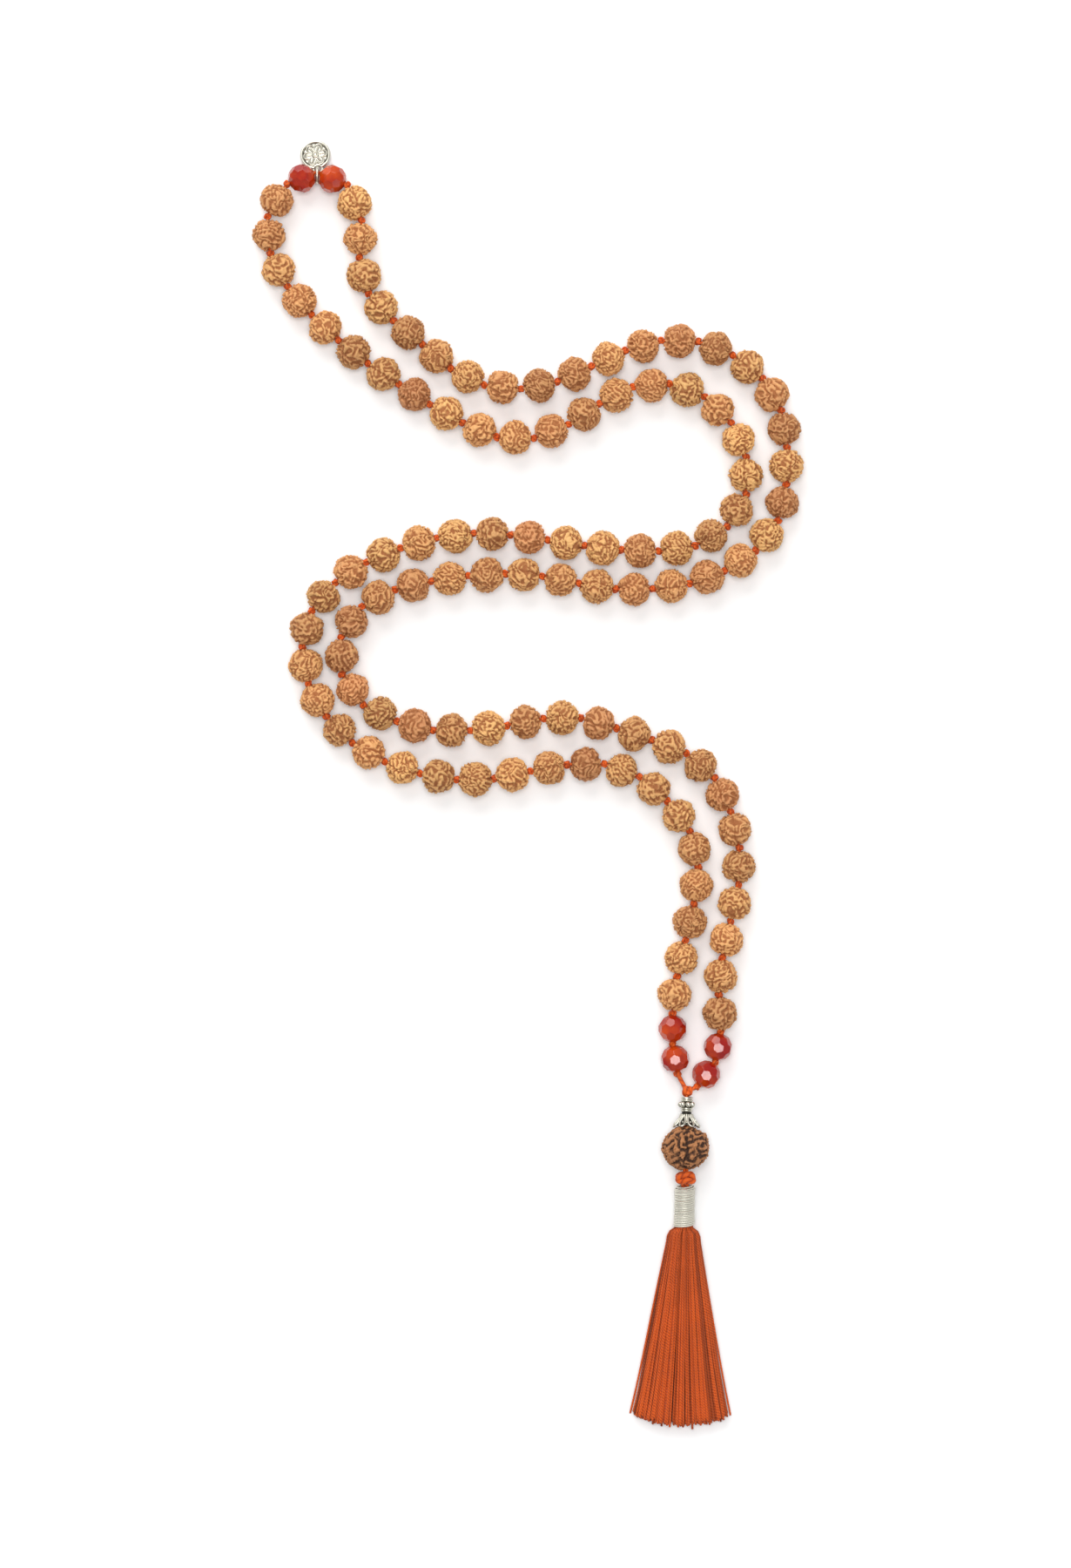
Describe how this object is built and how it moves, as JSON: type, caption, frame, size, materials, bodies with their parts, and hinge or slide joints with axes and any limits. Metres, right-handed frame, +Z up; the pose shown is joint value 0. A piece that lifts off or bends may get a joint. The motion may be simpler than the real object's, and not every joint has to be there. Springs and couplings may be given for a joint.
{
  "type": "mala prayer beads",
  "caption": "Knotted mala of ridged rudraksha seeds with faceted red stone accents, a silver charm, a capped guru bead and a thread tassel, laid flat in an S.",
  "frame": {"origin": "under the middle of the whole object, on the surface it rests on", "axes": "+X to the right and +Y from the tassel to the charm, seen from above; +Z up"},
  "size_m": [0.1178, 0.2742, 0.0103],
  "materials": {
    "rudraksha": "dry ridged seed, satin on the ridges",
    "guru": "darker dry ridged seed",
    "carnelian": "polished flat facets, slightly translucent",
    "thread": "waxed twisted thread, soft sheen",
    "silver": "oxidised silver, dark in the hollows",
    "wrap": "tight metallic thread winding"
  },
  "bodies": {
    "section_01": {"thread_01": "thread", "left_beads_01": "rudraksha", "right_beads_01": "rudraksha"},
    "section_02": {"thread_02": "thread", "left_beads_02": "rudraksha", "right_beads_02": "rudraksha"},
    "section_03": {"thread_03": "thread", "left_beads_03": "rudraksha", "right_beads_03": "rudraksha"},
    "section_04": {"thread_04": "thread", "left_beads_04": "rudraksha", "right_beads_04": "rudraksha"},
    "section_05": {"thread_05": "thread", "left_beads_05": "rudraksha", "right_beads_05": "rudraksha"},
    "section_06": {"thread_06": "thread", "left_beads_06": "rudraksha", "right_beads_06": "rudraksha"},
    "section_07": {"thread_07": "thread", "left_beads_07": "rudraksha", "right_beads_07": "rudraksha"},
    "section_08": {"thread_08": "thread", "left_beads_08": "rudraksha", "right_beads_08": "rudraksha"},
    "section_09": {"thread_09": "thread", "left_beads_09": "rudraksha", "right_beads_09": "rudraksha"},
    "section_10": {"thread_10": "thread", "left_beads_10": "rudraksha", "right_beads_10": "rudraksha"},
    "section_11": {"thread_11": "thread", "left_beads_11": "rudraksha", "right_beads_11": "rudraksha"},
    "section_12": {"thread_12": "thread", "left_beads_12": "rudraksha", "right_beads_12": "rudraksha"},
    "section_13": {"thread_13": "thread", "left_beads_13": "rudraksha", "right_beads_13": "rudraksha"},
    "top_left_carnelian": {"top_left_carnelian": "carnelian"},
    "upper_left_carnelian": {"upper_left_carnelian": "carnelian"},
    "lower_left_carnelian": {"lower_left_carnelian": "carnelian"},
    "top_right_carnelian": {"top_right_carnelian": "carnelian"},
    "upper_right_carnelian": {"upper_right_carnelian": "carnelian"},
    "lower_right_carnelian": {"lower_right_carnelian": "carnelian"},
    "charm_ring": {"charm_ring": "silver"},
    "charm_disc": {"charm_disc": "silver"},
    "junction": {"junction_knot": "thread"},
    "pendant": {"pendant_cord": "thread"},
    "cap": {"guru_cap": "silver"},
    "guru": {"guru_bead": "guru"},
    "tassel_link": {"tassel_loop": "thread"},
    "tassel": {"tassel_wrap": "wrap", "tassel_threads": "thread"}
  },
  "joints": [
    {"name": "fold_01", "type": "hinge", "parent": "section_01", "child": "section_02", "pos_m": [-0.04391, 0.10859, 0.00375], "axis": [-0.927, -0.3751, 0], "range_deg": [-20, 20]},
    {"name": "fold_02", "type": "hinge", "parent": "section_02", "child": "section_03", "pos_m": [-0.02533, 0.08894, 0.00375], "axis": [-0.5132, -0.8583, 0], "range_deg": [-20, 20]},
    {"name": "fold_03", "type": "hinge", "parent": "section_03", "child": "section_04", "pos_m": [-0.00045, 0.07847, 0.00375], "axis": [0.2533, -0.9674, 0], "range_deg": [-20, 20]},
    {"name": "fold_04", "type": "hinge", "parent": "section_04", "child": "section_05", "pos_m": [0.02118, 0.08791, 0.00375], "axis": [-0.2038, 0.979, 0], "range_deg": [-20, 20]},
    {"name": "fold_05", "type": "hinge", "parent": "section_05", "child": "section_06", "pos_m": [0.0504, 0.07027, 0.00375], "axis": [0.9731, 0.2302, 0], "range_deg": [-20, 20]},
    {"name": "fold_06", "type": "hinge", "parent": "section_06", "child": "section_07", "pos_m": [0.01891, 0.04525, 0.00375], "axis": [0.1433, 0.9897, 0], "range_deg": [-20, 20]},
    {"name": "fold_07", "type": "hinge", "parent": "section_07", "child": "section_08", "pos_m": [-0.0046, 0.04854, 0.00375], "axis": [0.14, 0.9902, 0], "range_deg": [-20, 20]},
    {"name": "fold_08", "type": "hinge", "parent": "section_08", "child": "section_09", "pos_m": [-0.03172, 0.04399, 0.00375], "axis": [0.7241, -0.6897, 0], "range_deg": [-20, 20]},
    {"name": "fold_09", "type": "hinge", "parent": "section_09", "child": "section_10", "pos_m": [-0.02956, 0.00864, 0.00375], "axis": [0.2881, 0.9576, 0], "range_deg": [-20, 20]},
    {"name": "fold_10", "type": "hinge", "parent": "section_10", "child": "section_11", "pos_m": [-0.0023, 0.0072, 0.00375], "axis": [0.4538, -0.8911, 0], "range_deg": [-20, 20]},
    {"name": "fold_11", "type": "hinge", "parent": "section_11", "child": "section_12", "pos_m": [0.02466, 0.00504, 0.00375], "axis": [-0.3227, -0.9465, 0], "range_deg": [-20, 20]},
    {"name": "fold_12", "type": "hinge", "parent": "section_12", "child": "section_13", "pos_m": [0.03891, -0.02773, 0.00375], "axis": [0.9014, -0.433, 0], "range_deg": [-20, 20]},
    {"name": "top_left_carnelian_spin", "type": "hinge", "parent": "section_01", "child": "top_left_carnelian", "pos_m": [-0.04849, 0.12855, 0.00352], "axis": [-0.9294, -0.3637, 0.0637], "continuous": true},
    {"name": "upper_left_carnelian_spin", "type": "hinge", "parent": "section_13", "child": "upper_left_carnelian", "pos_m": [0.03046, -0.05244, 0.00367], "axis": [-0.0006, -0.9997, -0.0231], "continuous": true},
    {"name": "lower_left_carnelian_spin", "type": "hinge", "parent": "section_13", "child": "lower_left_carnelian", "pos_m": [0.03099, -0.05889, 0.0035], "axis": [0.1625, -0.9862, -0.0308], "continuous": true},
    {"name": "top_right_carnelian_spin", "type": "hinge", "parent": "section_01", "child": "top_right_carnelian", "pos_m": [-0.04198, 0.12841, 0.00352], "axis": [0.9137, -0.4014, 0.0637], "continuous": true},
    {"name": "upper_right_carnelian_spin", "type": "hinge", "parent": "section_13", "child": "upper_right_carnelian", "pos_m": [0.0401, -0.05634, 0.00367], "axis": [-0.1934, -0.9808, -0.0231], "continuous": true},
    {"name": "lower_right_carnelian_spin", "type": "hinge", "parent": "section_13", "child": "lower_right_carnelian", "pos_m": [0.0376, -0.06218, 0.0035], "axis": [-0.5763, -0.8167, -0.0308], "continuous": true},
    {"name": "charm_swing", "type": "hinge", "parent": "section_01", "child": "charm_ring", "pos_m": [-0.04521, 0.12983, 0.0033], "axis": [0.9997, -0.0262, 0], "range_deg": [-12, 40]},
    {"name": "charm_swivel", "type": "hinge", "parent": "charm_ring", "child": "charm_disc", "pos_m": [-0.04519, 0.13072, 0.002], "axis": [-0.0371, 0.2219, 0.9744], "range_deg": [-16, 1]},
    {"name": "pendant_swing", "type": "hinge", "parent": "section_13", "child": "junction", "pos_m": [0.03351, -0.06572, 0.00399], "axis": [0, 0, 1], "range_deg": [-25, 25]},
    {"name": "pendant_lift", "type": "hinge", "parent": "junction", "child": "pendant", "pos_m": [0.03351, -0.06572, 0.00399], "axis": [-0.9998, 0.0209, 0], "range_deg": [-25, 25]},
    {"name": "cap_spin", "type": "hinge", "parent": "pendant", "child": "cap", "pos_m": [0.03346, -0.06797, 0.00421], "axis": [-0.0208, -0.9952, 0.0958], "continuous": true},
    {"name": "guru_spin", "type": "hinge", "parent": "pendant", "child": "guru", "pos_m": [0.03326, -0.07773, 0.00515], "axis": [-0.0208, -0.9952, 0.0958], "continuous": true},
    {"name": "tassel_swing", "type": "hinge", "parent": "pendant", "child": "tassel_link", "pos_m": [0.03312, -0.08412, 0.00577], "axis": [0, 0, 1], "range_deg": [-20, 20]},
    {"name": "tassel_lift", "type": "hinge", "parent": "tassel_link", "child": "tassel", "pos_m": [0.03308, -0.08619, 0.00346], "axis": [-0.9998, 0.0209, 0], "range_deg": [-25, 12]}
  ]
}
